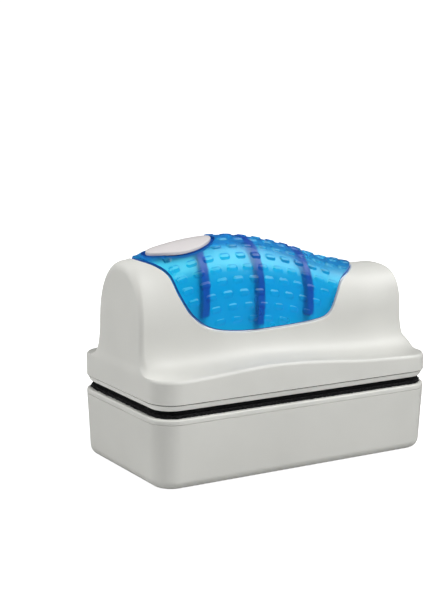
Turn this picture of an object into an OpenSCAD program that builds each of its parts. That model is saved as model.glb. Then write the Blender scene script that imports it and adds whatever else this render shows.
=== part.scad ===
// Magnetic glass cleaner in two halves, shown clamped face to face.
// The in-tank half stands on Z = 0. The hand-held half rides on top of it.
// X runs along the length, with the high end of the grip at -X.

/* [Overall size] */
// Length of both halves
body_l = 100; // [90:1:110]
// Width of both halves
body_w = 54; // [52:0.5:60]
// Radius of the corners seen from above
corner_r = 8; // [7:0.5:10]
// Thickness of the moulded walls
wall = 2; // [1.6:0.1:2.2]

/* [In-tank half] */
// Height of the tub, up to the seam under its lid
tub_h = 20.1; // [19:0.1:24]
// How far the tub narrows towards its floor, on each side
tub_draft = 1.1; // [0.5:0.1:2]
// Radius of the tub's bottom edge
tub_edge_r = 3; // [2:0.5:4]
// Thickness of the lid
lid_t = 1.8; // [1.6:0.1:2.4]
// Radius of the lid's top edge
lid_edge_r = 0.9; // [0.5:0.1:1.2]

/* [Pads] */
// Thickness of the hook scrubbing pad on the in-tank half
scrub_pad_t = 1.2; // [1:0.1:2]
// Thickness of the felt pad on the hand-held half
felt_pad_t = 1.2; // [1:0.1:2]
// How far the scrubbing pad stops short of the lid's edge
scrub_pad_margin = 1.4; // [1.2:0.1:3]
// How far the felt pad stops short of the full outline
felt_pad_margin = 1.8; // [1.6:0.1:4]

/* [Hand-held half] */
// Thickness of the base plate
base_t = 1.8; // [1.6:0.1:2.4]
// How far the base plate tapers in towards the glass, on each side
base_taper = 1.2; // [1:0.1:1.6]
// Height of the shell's top at the high end, above its seam with the base plate
high_end_h = 39; // [36:0.5:42]
// How far the low end of the grip lies below the high end
end_drop = 7.6; // [5:0.2:9]
// How far the crown of the grip rises above the high end
crown_rise = 5.4; // [3:0.2:7]
// Width of the grip at the high end
grip_w_high = 27.6; // [27:0.2:34]
// Width of the grip at the low end
grip_w_low = 26.6; // [25:0.2:30]
// Height of the flange's upright wall at the high end, above the seam
flange_h = 7.2; // [6:0.1:9]
// Radius between the grip's end faces and its sides
end_edge_r = 1.5; // [1.25:0.25:3]
// Radius along the top of the grip's high end face
end_top_r = 2.75; // [1.5:0.25:3]
// How far the grip's end faces lean in, on average
lean = 1.9; // [1:0.1:2.4]
// How far the grip stands off the middle of the base, towards its high end
grip_shift = 1.1; // [0:0.1:1.5]
// Thickness of the grip cover
cover_t = 1.8; // [1.4:0.1:2]

/* [Magnets] */
// Length of one magnet
magnet_l = 30; // [24:1:32]
// Width of the magnets
magnet_w = 20; // [14:1:22]
// Thickness of the magnets
magnet_t = 5; // [4:0.5:5]
// Gap between the two magnets of one half
magnet_gap = 6; // [4:1:8]
// Thickness of the steel plate behind the magnets
yoke_t = 1.2; // [0.8:0.1:1.5]

/* [Hidden] */
half_l = body_l / 2;
half_w = body_w / 2;

// Levels, from the floor up: lid, plane where the two pads meet, base plate, shell
lid_top = tub_h + lid_t;
pad_plane = lid_top + scrub_pad_t;
base_bottom = pad_plane + felt_pad_t;
seam = base_bottom + base_t;

// Cross-section of the hand-held half
flange_edge_r = 1.2;
flare_h = 12.8;
flare_power = 3;
crown_power = 2.2;

// Grip cover and name plate, and the recess in the shell that they sit in
recess_depth = 3.6;
cover_gap = 0.25;
cover_rim_t = 1.4;
plate_t = 1.2;
plate_gap = 0.2;

// Skirts that locate the lid and the base plate, and the seal under the lid
skirt_t = 1.2;
skirt_h = 2.4;
fit_gap = 0.15;
seal_w = 1;
// Overlap that joins raised details to their plate
weld = 0.2;

// Magnets' frame, foam strip and clamp
frame_h = 2;
foam_t = 0.8;
foam_margin = 2;
clamp_t = 1.8;
clamp_strap_w = 9;
clamp_ear_r = 4.5;
clamp_post_x = 40;
clamp_post_r = 3;

// Screws: all have the same thread and head
thread_r = 1.25;
screw_clearance_r = 1.5;
screw_head_r = 2.4;
screw_head_t = 1.2;
screw_slot = [2.6, 0.6, 0.6];
pilot_r = 1.1;
pilot_depth = 5.5;
clamp_screw_l = 6.3;
base_screw_l = 5;
corner_screw_x = 41;
corner_screw_y = 18.5;
corner_boss_r = 3;
corner_boss_h = 6;
corner_pilot_depth = 4.8;
// Height of the shell's lower hollow, which stops below the grip cover's recess
low_cavity_h = 14;

// Block of closed-cell foam that makes the in-tank half float
float_size = [82, 36, 6];

// Height of the grip's top line above the seam, from the high end to the low end
ridge = [
    [-half_l, high_end_h - 0.4], [-44, high_end_h + 0.5], [-36, high_end_h + 0.6 * crown_rise],
    [-20, high_end_h + crown_rise], [-5, high_end_h + 0.85 * crown_rise],
    [12, high_end_h + 0.1 * crown_rise], [28, high_end_h - 0.65 * end_drop],
    [38, high_end_h - 0.93 * end_drop], [half_l, high_end_h - end_drop]
];
// Half-width of the grip along its length
grip_side = [
    [-half_l, grip_w_high / 2], [-15, grip_w_high / 2 + 2],
    [20, grip_w_low / 2 + 1.6], [half_l, grip_w_low / 2]
];
// Height of the flange's top edge above the seam, a gentle wave
flange_top = [
    [-half_l, flange_h], [-38, flange_h], [-12, flange_h + 1.4],
    [5, flange_h + 0.7], [22, flange_h - 0.9], [half_l, flange_h - 2.2]
];
// How far the end faces lean in, and how far the grip shifts, by height above the seam
end_lean = [[5, 0], [7, 0.1], [10, 1.3], [24, lean], [40, lean + 0.2]];
end_shift = [[5, 0], [7, 0.1], [10, 0.9], [24, grip_shift], [40, grip_shift]];
// Edge of the grip cover, seen from the side: X and height above the seam
cover_edge = [
    [-44.9, 45], [-44.9, 39.5], [-41.2, 38], [-38.3, 35.2], [-36.3, 29.4], [-32.4, 22.9],
    [-26, 18.5], [-16, 16.9], [-2, 16.8], [12, 17.5], [17.5, 19.3], [21, 24.8],
    [24.2, 28.7], [30, 31], [36.6, 32.4], [37.6, 45]
];
// Name plate: a blank oval inlay near the high end
plate_x = -28.9;
plate_half_l = 10.9;
plate_half_w = 6.7;
// Cross ribs inside the grip cover
rib_x = [-28, -8.6, 10.8];
rib_t = 2.8;

plastic_grey = [0.80, 0.80, 0.78];
cover_blue = [0.05, 0.62, 0.88];
screw_steel = [0.70, 0.70, 0.72];

// ---- Curves ----

// Slope of a smooth line through points at number i
function slope_at(points, i) =
    let (a = points[max(i - 1, 0)], b = points[min(i + 1, len(points) - 1)])
    (b[1] - a[1]) / (b[0] - a[0]);

// Value at x on the smooth line through points, held level beyond its ends
function along(points, x) =
    let (
        last = len(points) - 2,
        i = min(last, max([0, for (k = [0 : last]) if (points[k][0] <= x) k])),
        a = points[i],
        b = points[i + 1],
        h = b[0] - a[0],
        t = min(1, max(0, (x - a[0]) / h))
    )
    (2 * t ^ 3 - 3 * t ^ 2 + 1) * a[1] + (3 * t ^ 2 - 2 * t ^ 3) * b[1]
        + h * (t ^ 3 - 2 * t ^ 2 + t) * slope_at(points, i)
        + h * (t ^ 3 - t ^ 2) * slope_at(points, i + 1);

// Point at t between points i and i + 1 of a smooth open path
function path_point(path, i, t) =
    let (
        p0 = path[max(i - 1, 0)],
        p1 = path[i],
        p2 = path[i + 1],
        p3 = path[min(i + 2, len(path) - 1)]
    )
    0.5 * (2 * p1 + t * (p2 - p0) + t ^ 2 * (2 * p0 - 5 * p1 + 4 * p2 - p3)
        + t ^ 3 * (3 * p1 - p0 - 3 * p2 + p3));

function smooth_path(path, steps) = [
    for (i = [0 : len(path) - 2]) for (s = [0 : steps - 1]) path_point(path, i, s / steps),
    path[len(path) - 1]
];

// ---- Rings and skins ----

// Flat strips that close one ring, each strip between a pair of points that face each other
function cap(start, count) = [
    for (i = [0 : ceil(count / 2) - 2])
        let (a = start + i, b = start + count - 1 - i)
        each a + 1 == b - 1 ? [[a, a + 1, b]] : [[a, a + 1, b], [a + 1, b - 1, b]]
];

function reversed(faces) = [for (f = faces) [f[2], f[1], f[0]]];

// Closed skin through rings that all have the same number of points
module skin(rings) {
    count = len(rings[0]);
    last = len(rings) - 1;
    sides = [
        for (k = [0 : last - 1]) for (i = [0 : count - 1])
            let (j = (i + 1) % count, low = k * count, high = low + count)
            each [[low + i, high + j, high + i], [low + i, low + j, high + j]]
    ];
    faces = concat(reversed(cap(0, count)), sides, cap(last * count, count));
    polyhedron([for (ring = rings) each ring], faces, convexity = 6);
}

// Outline of the halves seen from above, a distance inset inside the full outline
function plan_ring(inset, z, steps = 6) =
    let (r = max(corner_r - inset, 0.6), x = half_l - inset - r, y = half_w - inset - r)
    [
        for (q = [0 : 3]) for (s = [0 : steps])
            let (a = 90 * q + 90 * s / steps, sx = q == 0 || q == 3 ? 1 : -1, sy = q < 2 ? 1 : -1)
            [sx * x + r * cos(a), sy * y + r * sin(a), z]
    ];

// Stack of plan outlines, each given as [inset, z] from the top down
module stack(levels) {
    skin([for (level = levels) plan_ring(level[0], level[1])]);
}

// How far a corner of radius r, ending at distance end, pulls in at x
function pulled_in(x, end, r) =
    let (d = min(r, max(0, abs(x) - (end - r)))) r - sqrt(r * r - d * d);

// Right-hand half of the hand-held half's cross-section at x, from the foot to the ridge.
// All of it lies a distance inset inside the outer surface.
function half_section(x, inset, foot, flare_steps, crown_steps) =
    let (
        end = half_l - inset,
        foot_y = half_w - inset - pulled_in(x, end, max(corner_r - inset, 1)),
        edge = pulled_in(x, end, max(end_edge_r - inset, 0.8)),
        top_r = x < 0 ? end_top_r : end_edge_r,
        side = along(grip_side, x) - inset - edge,
        top = seam + along(ridge, x) - inset - pulled_in(x, end, max(top_r - inset, 0.8)),
        wall_top = seam + along(flange_top, x),
        shelf = wall_top - inset,
        waist = wall_top + flare_h,
        round_y = foot_y - flange_edge_r
    )
    concat(
        [[foot_y, foot]],
        [for (a = [0, 30, 60]) [round_y + flange_edge_r * cos(a), shelf + flange_edge_r * (sin(a) - 1)]],
        [
            for (s = [0 : flare_steps - 1]) let (a = 90 * s / flare_steps)
            [
                round_y - (round_y - side) * sin(a) ^ (2 / flare_power),
                waist - (waist - shelf) * cos(a) ^ (2 / flare_power)
            ]
        ],
        [
            for (s = [0 : crown_steps]) let (a = 90 * s / crown_steps)
            [side * cos(a) ^ (2 / crown_power), waist + (top - waist) * sin(a) ^ (2 / crown_power)]
        ]
    );

// Whole cross-section, with the ends leaning in above the flange
function section(x, inset, foot, flare_steps, crown_steps) =
    let (
        half = half_section(x, inset, foot, flare_steps, crown_steps),
        n = len(half),
        leaning = [
            for (p = half)
            let (h = p[1] - seam)
            [x * (1 - along(end_lean, h) / half_l) - along(end_shift, h), p[0], p[1]]
        ]
    )
    concat(
        [for (p = leaning) [p[0], -p[1], p[2]]],
        [for (i = [n - 2 : -1 : 0]) leaning[i]]
    );

// X positions of the cross-sections: close together round the ends, even between them
function stations(inset, end_steps, middle_steps) =
    let (end = half_l - inset, start = half_l - corner_r)
    concat(
        [for (s = [end_steps : -1 : 1]) -start - (end - start) * sin(90 * s / end_steps)],
        [for (s = [0 : middle_steps]) start * (2 * s / middle_steps - 1)],
        [for (s = [1 : end_steps]) start + (end - start) * sin(90 * s / end_steps)]
    );

// Solid bounded by the hand-held half's outer surface moved in by inset, for X up to x_end
module grip_solid(inset, foot, fine = true, x_end = half_l) {
    flare_steps = fine ? 7 : 5;
    crown_steps = fine ? 12 : 8;
    xs = fine ? stations(inset, 7, 24) : stations(inset, 4, 16);
    skin([for (x = xs) if (x <= x_end) section(x, inset, foot, flare_steps, crown_steps)]);
}

// Prism across the grip with the cover's side outline, moved in by inset
module cover_prism(inset) {
    outline = smooth_path(cover_edge, 4);
    translate([0, 0, seam])
        rotate([90, 0, 0])
            linear_extrude(height = body_w, center = true)
                offset(delta = -inset)
                    polygon(outline);
}

// Upright prism with the name plate's oval outline, moved in by inset
module plate_prism(inset) {
    translate([plate_x, 0, seam + high_end_h / 2])
        linear_extrude(height = high_end_h)
            polygon([
                for (a = [0 : 10 : 350])
                    [(plate_half_l - inset) * cos(a), (plate_half_w - inset) * sin(a)]
            ]);
}

// Rounded rectangle with straight sides, for the pads
module pad(margin, t) {
    l = body_l - 2 * margin;
    w = body_w - 2 * margin;
    r = corner_r - margin;
    linear_extrude(height = t) {
        square([l - 2 * r, w], center = true);
        square([l, w - 2 * r], center = true);
        for (x = [-1, 1]) for (y = [-1, 1])
            translate([x * (l / 2 - r), y * (w / 2 - r)]) circle(r = r, $fn = 48);
    }
}

// ---- Parts used in both halves ----

// One bar magnet; side is -1 for left and 1 for right
module magnet(side, z) {
    color([0.72, 0.73, 0.74])
        translate([side * (magnet_gap + magnet_l) / 2, 0, z + magnet_t / 2])
            cube([magnet_l, magnet_w, magnet_t], center = true);
}

module yoke_plate(z) {
    color([0.60, 0.61, 0.63])
        translate([0, 0, z + yoke_t / 2])
            cube([2 * magnet_l + magnet_gap, magnet_w, yoke_t], center = true);
}

module magnet_foam(z) {
    color([0.25, 0.25, 0.27])
        translate([0, 0, z + foam_t / 2])
            cube([
                2 * (magnet_l - foam_margin) + magnet_gap, magnet_w - 2 * foam_margin, foam_t
            ], center = true);
}

// Low walls that hold the two magnets in place, from height low up to height high
module magnet_frame(low, high) {
    outer_l = 2 * (magnet_l + skirt_t) + magnet_gap;
    translate([0, 0, (low + high) / 2])
        difference() {
            cube([outer_l, magnet_w + 2 * skirt_t, high - low], center = true);
            for (side = [-1, 1])
                translate([side * (magnet_gap + magnet_l) / 2, 0, 0])
                    cube([magnet_l, magnet_w, high - low + 1], center = true);
        }
}

// Thin wall that locates a lid or a plate inside the half's outer wall
module skirt(low, high) {
    outside = wall + fit_gap;
    difference() {
        stack([[outside, high], [outside, low]]);
        stack([[outside + skirt_t, high + 1], [outside + skirt_t, low - 1]]);
    }
}

// The two places of the clamp's screws
module clamp_positions() {
    for (x = [-clamp_post_x, clamp_post_x]) translate([x, 0, 0]) children();
}

// Posts that take the clamp's screws, from height low up to height high
module clamp_posts(low, high) {
    clamp_positions()
        translate([0, 0, low]) cylinder(r = clamp_post_r, h = high - low, $fn = 32);
}

// Pilot holes in the posts, which open at height mouth and run up or down from it
module clamp_pilots(mouth, up) {
    clamp_positions()
        translate([0, 0, mouth])
            mirror([0, 0, up ? 0 : 1])
                translate([0, 0, -1]) cylinder(r = pilot_r, h = pilot_depth + 1, $fn = 24);
}

// Strap across the magnets, with a screw hole at each end
module magnet_clamp(z) {
    color([0.88, 0.88, 0.86])
        translate([0, 0, z])
            difference() {
                union() {
                    translate([0, 0, clamp_t / 2])
                        cube([2 * clamp_post_x, clamp_strap_w, clamp_t], center = true);
                    translate([0, 0, clamp_t / 2])
                        cube([2 * magnet_l, magnet_w, clamp_t], center = true);
                    clamp_positions() cylinder(r = clamp_ear_r, h = clamp_t, $fn = 32);
                }
                clamp_positions()
                    translate([0, 0, -1]) cylinder(r = screw_clearance_r, h = clamp_t + 2, $fn = 24);
            }
}

// Cross-slotted screw along +Z, head downwards, with its head's inner face at Z = 0
module screw(length) {
    difference() {
        translate([0, 0, -screw_head_t]) cylinder(r = screw_head_r, h = screw_head_t, $fn = 32);
        for (a = [0, 90])
            rotate(a) translate([-screw_slot[0] / 2, -screw_slot[1] / 2, -screw_head_t - 1])
                cube([screw_slot[0], screw_slot[1], screw_slot[2] + 1]);
    }
    cylinder(r = thread_r, h = length, $fn = 24);
}

// ---- In-tank half ----

inner_magnet_z = tub_h - magnet_t;
inner_yoke_z = inner_magnet_z - yoke_t;
inner_foam_z = inner_yoke_z - foam_t;
inner_clamp_z = inner_foam_z - clamp_t;

module scrubber_tub() {
    function side_inset(z) = tub_draft * (1 - z / tub_h);
    foot_inset = side_inset(tub_edge_r);
    floor_inset = wall + side_inset(wall);
    color(plastic_grey)
        difference() {
            stack([
                [0, tub_h], [foot_inset, tub_edge_r],
                for (a = [22.5 : 22.5 : 90])
                    [foot_inset + tub_edge_r * (1 - cos(a)), tub_edge_r * (1 - sin(a))]
            ]);
            stack([
                [wall, tub_h + 1], [wall, tub_h - 2],
                [floor_inset, wall + 1], [floor_inset + 1, wall]
            ]);
            stack([[wall - seal_w, tub_h + 1], [wall - seal_w, tub_h - seal_w]]);
        }
}

module scrubber_lid() {
    color(plastic_grey)
        difference() {
            union() {
                stack([
                    for (a = [90 : -22.5 : 0])
                        [lid_edge_r * (1 - cos(a)), lid_top - lid_edge_r * (1 - sin(a))],
                    [0, tub_h]
                ]);
                skirt(tub_h - skirt_h, tub_h + weld);
                magnet_frame(tub_h - frame_h, tub_h + weld);
                clamp_posts(inner_clamp_z + clamp_t, tub_h + weld);
            }
            clamp_pilots(inner_clamp_z + clamp_t, up = true);
        }
}

module lid_seal() {
    color([0.2, 0.2, 0.2])
        difference() {
            stack([[wall - seal_w, tub_h], [wall - seal_w, tub_h - seal_w]]);
            stack([[wall, tub_h + 1], [wall, tub_h - seal_w - 1]]);
        }
}

module scrub_pad() {
    color([0.06, 0.06, 0.07])
        translate([0, 0, lid_top]) pad(scrub_pad_margin, scrub_pad_t);
}

module inner_magnet_left() magnet(-1, inner_magnet_z);
module inner_magnet_right() magnet(1, inner_magnet_z);
module inner_yoke_plate() yoke_plate(inner_yoke_z);
module inner_magnet_foam() magnet_foam(inner_foam_z);
module inner_magnet_clamp() magnet_clamp(inner_clamp_z);

module inner_clamp_screws() {
    color(screw_steel)
        clamp_positions() translate([0, 0, inner_clamp_z]) screw(clamp_screw_l);
}

module float_foam() {
    color([0.93, 0.93, 0.90])
        translate([0, 0, wall + float_size[2] / 2])
            cube(float_size, center = true);
}

// ---- Hand-held half ----

outer_magnet_z = seam;
outer_yoke_z = outer_magnet_z + magnet_t;
outer_foam_z = outer_yoke_z + yoke_t;
outer_clamp_z = outer_foam_z + foam_t;

module felt_pad() {
    color([0.04, 0.04, 0.05])
        translate([0, 0, pad_plane]) pad(felt_pad_margin, felt_pad_t);
}

module outer_base_plate() {
    edge_inset = 0.2;
    edge_drop = 0.5;
    color(plastic_grey)
        difference() {
            union() {
                stack([[edge_inset, seam], [edge_drop, seam - edge_drop], [base_taper, base_bottom]]);
                skirt(seam - weld, seam + skirt_h);
                magnet_frame(seam - weld, seam + frame_h);
                clamp_posts(seam - weld, outer_clamp_z);
            }
            clamp_pilots(outer_clamp_z, up = false);
            corner_positions() translate([0, 0, base_bottom - 1]) {
                cylinder(r = screw_clearance_r, h = base_t + 2, $fn = 24);
                cylinder(r = screw_head_r + fit_gap, h = screw_head_t + 1, $fn = 32);
            }
        }
}

module outer_base_screws() {
    color(screw_steel)
        corner_positions() translate([0, 0, base_bottom + screw_head_t]) screw(base_screw_l);
}

module outer_magnet_left() magnet(-1, outer_magnet_z);
module outer_magnet_right() magnet(1, outer_magnet_z);
module outer_yoke_plate() yoke_plate(outer_yoke_z);
module outer_magnet_foam() magnet_foam(outer_foam_z);
module outer_magnet_clamp() magnet_clamp(outer_clamp_z);

module outer_clamp_screws() {
    color(screw_steel)
        clamp_positions() translate([0, 0, outer_clamp_z + clamp_t])
            mirror([0, 0, 1]) screw(clamp_screw_l);
}

// The hand-held half's skin, with the recess for the grip cover stepped down into it
module recessed_grip() {
    difference() {
        grip_solid(0, seam);
        cover_prism(0);
    }
    grip_solid(recess_depth, seam + 1, fine = false);
}

// Hollow inside the flange and the finger hollows, below the recess
module low_cavity() {
    intersection() {
        grip_solid(wall, seam - 1, fine = false);
        translate([-body_l, -body_w, 0]) cube([2 * body_l, 2 * body_w, seam + low_cavity_h]);
    }
}

// The four places of the base plate's screws
module corner_positions() {
    for (x = [-corner_screw_x, corner_screw_x]) for (y = [-corner_screw_y, corner_screw_y])
        translate([x, y, 0]) children();
}

module handle_shell() {
    color(plastic_grey) {
        difference() {
            recessed_grip();
            low_cavity();
            grip_solid(recess_depth + wall, seam - 2, fine = false);
        }
        corner_positions() difference() {
            translate([0, 0, seam]) cylinder(r = corner_boss_r, h = corner_boss_h, $fn = 32);
            translate([0, 0, seam - 1]) cylinder(r = pilot_r, h = corner_pilot_depth + 1, $fn = 24);
        }
    }
}

module grip_cover() {
    color(cover_blue)
        difference() {
            intersection() {
                cover_prism(cover_gap);
                grip_solid(0, seam);
            }
            grip_solid(recess_depth, seam, fine = false);
            // hollow behind the cover, inside its rim and clear of the ribs and the plate seat
            difference() {
                intersection() {
                    cover_prism(cover_gap + cover_rim_t);
                    grip_solid(cover_t, seam, fine = false);
                }
                for (x = rib_x)
                    translate([x - rib_t / 2, -half_w, seam]) cube([rib_t, body_w, body_w]);
                plate_prism(-cover_rim_t);
            }
            difference() {
                plate_prism(0);
                grip_solid(plate_t, seam, fine = false, x_end = 0);
            }
        }
}

module name_plate() {
    color([0.88, 0.86, 0.87])
        difference() {
            intersection() {
                plate_prism(plate_gap);
                grip_solid(0, seam, x_end = 0);
            }
            grip_solid(plate_t, seam, fine = false, x_end = 0);
        }
}

scrubber_tub();
scrubber_lid();
lid_seal();
scrub_pad();
inner_magnet_left();
inner_magnet_right();
inner_yoke_plate();
inner_magnet_foam();
inner_magnet_clamp();
inner_clamp_screws();
float_foam();
felt_pad();
outer_base_plate();
outer_base_screws();
outer_magnet_left();
outer_magnet_right();
outer_yoke_plate();
outer_magnet_foam();
outer_magnet_clamp();
outer_clamp_screws();
handle_shell();
grip_cover();
name_plate();
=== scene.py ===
import math

import bmesh
import bpy
import numpy as np
from mathutils import Matrix, Vector


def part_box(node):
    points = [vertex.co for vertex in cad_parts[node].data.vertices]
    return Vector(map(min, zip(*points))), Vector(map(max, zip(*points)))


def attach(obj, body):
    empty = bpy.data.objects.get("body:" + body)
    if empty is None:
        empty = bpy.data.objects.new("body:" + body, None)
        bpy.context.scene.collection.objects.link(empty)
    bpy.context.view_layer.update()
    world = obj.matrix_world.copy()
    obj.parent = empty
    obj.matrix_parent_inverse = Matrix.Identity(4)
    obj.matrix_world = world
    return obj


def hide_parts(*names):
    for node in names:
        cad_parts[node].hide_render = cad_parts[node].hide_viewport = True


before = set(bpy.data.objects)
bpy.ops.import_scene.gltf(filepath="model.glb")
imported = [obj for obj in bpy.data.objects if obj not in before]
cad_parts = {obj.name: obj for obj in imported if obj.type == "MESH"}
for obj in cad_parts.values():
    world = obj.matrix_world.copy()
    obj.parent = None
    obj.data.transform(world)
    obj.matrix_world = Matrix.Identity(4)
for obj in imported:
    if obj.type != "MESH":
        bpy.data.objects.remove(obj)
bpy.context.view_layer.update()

MM = 0.001  # every shape below is worked out in millimetres
MIRRORED = np.array([1, -1, 1])  # times a point: its twin on the other side


# ---- Sizes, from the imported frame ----

def node_box(node):
    low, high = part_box(node)
    return np.array(low) / MM, np.array(high) / MM


shell_low, shell_high = node_box("handle_shell")
tub_h = node_box("scrubber_tub")[1][2]
lid_top = node_box("scrubber_lid")[1][2]
base_low = node_box("outer_base_plate")[0]
scrub_low, scrub_high = node_box("scrub_pad")
felt_low, felt_high = node_box("felt_pad")
half_l = shell_high[0]
half_w = shell_high[1]
seam = shell_low[2]
corner_r = 8.0  # corners of the floor plan
wall = 2.0

# The lid's top face sits a little lower than its CAD box, with the pads and the base plate
# following it down by PAD_DROP
PAD_DROP = 0.22
lid_top -= PAD_DROP
for corner in (scrub_low, scrub_high, felt_low, felt_high, base_low):
    corner[2] -= PAD_DROP

# ---- Shape of the hand-held half: the CAD part's curves, with a fuller crown at the low end ----
# Each curve is a list of (station along the length, value) or, for the ends, (height, value).

high_end_h = 39.0
end_drop = 7.6
crown_rise = 5.4
flange_h = 7.2
flange_edge_r = 1.2
flare_h = 12.8
flare_power = 3
end_edge_r = 1.5
end_top_r = 2.75  # top of the high end face
RIDGE = [
    (-50, high_end_h - 0.4), (-44, high_end_h + 0.5), (-36, high_end_h + 0.6 * crown_rise),
    (-20, high_end_h + crown_rise), (-5, high_end_h + 0.85 * crown_rise),
    (12, high_end_h + 0.1 * crown_rise), (28, high_end_h - 0.65 * end_drop),
    (38, high_end_h - 0.93 * end_drop), (50, high_end_h - end_drop),
]
GRIP_SIDE = [(-50, 13.8), (-15, 15.8), (20, 14.9), (50, 13.3)]
CROWN_POWER = [(-50, 2.2), (37, 2.2), (50, 2.8)]
FLANGE_TOP = [
    (-50, flange_h), (-38, flange_h), (-12, flange_h + 1.4),
    (5, flange_h + 0.7), (22, flange_h - 0.9), (50, flange_h - 2.2),
]
END_LEAN = [(5, 0), (7, 0.1), (10, 1.3), (24, 1.9), (40, 2.1)]
END_SHIFT = [(5, 0), (7, 0.1), (10, 0.9), (24, 1.1), (40, 1.1)]
# Outline of the cut-out for the cover, as (x, height above the seam)
COVER_EDGE = [
    (-44.9, 45), (-44.9, 39.5), (-41.2, 38), (-38.3, 35.2), (-36.3, 29.4), (-32.4, 22.9),
    (-26, 18.5), (-16, 16.9), (-2, 16.8), (12, 17.5), (17.5, 19.3), (21, 24.8),
    (24.2, 28.7), (30, 31), (36.6, 32.4), (37.6, 45),
]
PLATE_X = -28.9
PLATE_HALF = np.array([10.9, 6.7])

# Depths below the hand-held half's outer surface
COVER_T = 1.8
RECESS_DEPTH = 3.4
SEAT_DEPTH = 1.1

# Edges and gaps
LIP_R = 0.35  # rolled lip of the shell round the cover
COVER_GAP = 0.3  # from that lip to the cover
COVER_EDGE_R = 0.55
SEAM_GAP = 0.3  # groove between the shell and the base plate
base_taper = 1.2

# Name plate's seat: its hole, and the rings of its wall as (distance past the plate, depth)
SEAT_MARGIN = 1.7
SEAT_RINGS = [
    (1.35, 0), (1.22, 0.05), (1.14, 0.18), (1.1, 0.4), (1.08, SEAT_DEPTH), (-2.5, SEAT_DEPTH)
]

# Raised dashes on the grip cover: rows follow the ridge, a fixed distance apart
ROW_GAP = 3.95
DASH_PITCH = 5.5
PITCH_DRIFT = 0.009  # the dashes get closer together towards the low end
DASH_SHIFT = 1.4  # from one row to the next
DASH_START = 0.15
DASH_HALF = np.array([1.6, 0.8])
DASH_CORNER = 0.7
DASH_H = 0.4
DASH_SLOPE = 0.4  # width of a dash's sloping side
DASH_CLEAR = np.array([3.2, 2.2])  # from a dash's middle to the name plate, along and across
DASH_ROOM = 1.9  # and to the cover's edge

# The cover's two tips stand proud of the shell: by how much at the very end, and how far from it
TIP_RISE = np.array([0.6, 0.8])
TIP_REACH = np.array([3.6, 18.0])

# Cross ribs inside the grip cover: place along the length, and how far each stops above the edge
RIBS = [(-27.5, 3.2), (-7.6, 1.6), (11.8, 2.4)]
RIB_HALF_T = 1.2
RIB_DEPTH = 0.9
RIB_SINK = 0.4  # how much lower a rib lies under the name plate's seat
RIB_LEAN = 2.6

# Number of points along each part of a half cross-section and round the floor plan's outline
EDGE_POINTS = 10
FLARE_POINTS = 90
CROWN_POINTS = 110
SIDE_STEPS = 20
CORNER_STEPS = 14
CAP_COLUMNS = 30


# ---- Curves ----

def along(points, x):
    """Value at x on the smooth line through points, held level beyond its ends."""
    px, py = np.array(points, float).T
    last = len(px) - 1
    before = np.maximum(np.arange(last + 1) - 1, 0)
    after = np.minimum(np.arange(last + 1) + 1, last)
    slope = (py[after] - py[before]) / (px[after] - px[before])
    x = np.clip(x, px[0], px[-1])
    i = np.clip(np.searchsorted(px, x, side="right") - 1, 0, last - 1)
    h = px[i + 1] - px[i]
    t = (x - px[i]) / h
    level = (2 * t**3 - 3 * t**2 + 1) * py[i] + (3 * t**2 - 2 * t**3) * py[i + 1]
    bend = (t**3 - 2 * t**2 + t) * slope[i] + (t**3 - t**2) * slope[i + 1]
    return level + h * bend


def smooth_path(path, steps):
    """Catmull-Rom curve through the points of path."""
    p = np.array([path[0], *path, path[-1]], float)
    t = np.linspace(0, 1, steps, endpoint=False)[:, None]
    spans = []
    for p0, p1, p2, p3 in zip(p, p[1:], p[2:], p[3:]):
        spans.append(0.5 * (
            2 * p1 + t * (p2 - p0) + t**2 * (2 * p0 - 5 * p1 + 4 * p2 - p3)
            + t**3 * (3 * p1 - p0 - 3 * p2 + p3)
        ))
    return np.vstack([*spans, p[-1:]])


def pulled_in(x, end, r):
    """How far a corner of radius r, ending at distance end, pulls in at x."""
    d = np.clip(np.abs(x) - (end - r), 0, r)
    return r - np.sqrt(r * r - d * d)


def leaned(u, z):
    """Where station u of the grip lies at height z: its ends lean in and it shifts a little."""
    return u * (1 - along(END_LEAN, z - seam) / half_l) - along(END_SHIFT, z - seam)


def station(x, z):
    """The station u that lies at x at height z."""
    return (x + along(END_SHIFT, z - seam)) / (1 - along(END_LEAN, z - seam) / half_l)


def quarter(count):
    """Angles from 0 to 90 degrees, closer together at both ends."""
    t = np.linspace(0, 1, count)
    return math.pi / 2 * t * t * (3 - 2 * t)


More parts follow.
